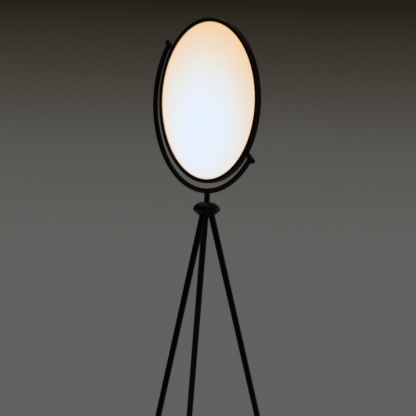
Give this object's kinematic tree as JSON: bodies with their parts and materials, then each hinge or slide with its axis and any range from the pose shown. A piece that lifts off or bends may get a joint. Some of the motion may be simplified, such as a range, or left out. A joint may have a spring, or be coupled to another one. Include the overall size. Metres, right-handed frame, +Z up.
{
  "type": "tripod floor lamp",
  "caption": "Floor lamp with a flat edge-lit round disc on inclined pivots in a half-ring yoke, turning on a domed hub with three slim splayed legs.",
  "frame": {"origin": "on the floor, on the vertical axis of the stem and hub", "axes": "+Z up, the lit face looks towards -Y, +X to the right as seen from the front"},
  "size_m": [0.5495, 0.5021, 1.6001],
  "materials": {
    "black_metal": "fine matt black powder coat",
    "black_aluminium": "satin black anodised",
    "aluminium": "mill finish",
    "steel": "zinc plated",
    "brass": "turned",
    "nylon": "black nylon",
    "opal_acrylic": "opal, lit from behind",
    "clear_acrylic": "clear polished",
    "white_film": "matt white",
    "foam": "grey foam",
    "circuit_board": "white solder mask",
    "phosphor": "yellow phosphor",
    "rubber": "matt black rubber",
    "wire_insulation": "black insulation"
  },
  "bodies": {
    "tripod": {"hub_dome": "black_aluminium", "hub_body": "black_aluminium", "swivel_bush": "nylon", "stop_pin": "steel", "leg_plugs": "steel", "leg_nipples": "brass", "leg_front": "black_metal", "leg_right": "black_metal", "leg_left": "black_metal", "foot_front": "rubber", "foot_right": "rubber", "foot_left": "rubber", "cable_gland": "nylon", "leg_wire": "wire_insulation"},
    "yoke": {"yoke_arc": "black_metal", "upper_pivot_barrel": "black_metal", "lower_pivot_barrel": "black_metal", "upper_pivot_bush": "nylon", "lower_pivot_bush": "nylon", "upper_pivot_washer": "nylon", "lower_pivot_washer": "nylon", "upper_pivot_cap": "black_metal", "lower_pivot_cap": "black_metal", "stem": "black_metal", "stop_washer": "steel", "swivel_nut": "steel", "yoke_wire": "wire_insulation"},
    "head": {"bezel": "black_aluminium", "back_pan": "black_metal", "pan_screws": "steel", "diffuser": "opal_acrylic", "light_guide": "clear_acrylic", "reflector_sheet": "white_film", "backing_pad": "foam", "led_carrier": "aluminium", "led_strip": "circuit_board", "led_chips": "phosphor", "upper_pivot_boss": "black_aluminium", "lower_pivot_boss": "black_aluminium", "upper_pivot_screw": "steel", "lower_pivot_screw": "steel", "head_wire": "wire_insulation"}
  },
  "joints": [
    {"name": "yoke_swivel", "type": "hinge", "parent": "tripod", "child": "yoke", "pos_m": [0, 0, 1.15], "axis": [0, 0, 1], "range_deg": [-165, 165]},
    {"name": "head_turn", "type": "hinge", "parent": "yoke", "child": "head", "pos_m": [0, 0, 1.4], "axis": [-0.766, 0, 0.6428], "range_deg": [-170, 170]}
  ]
}
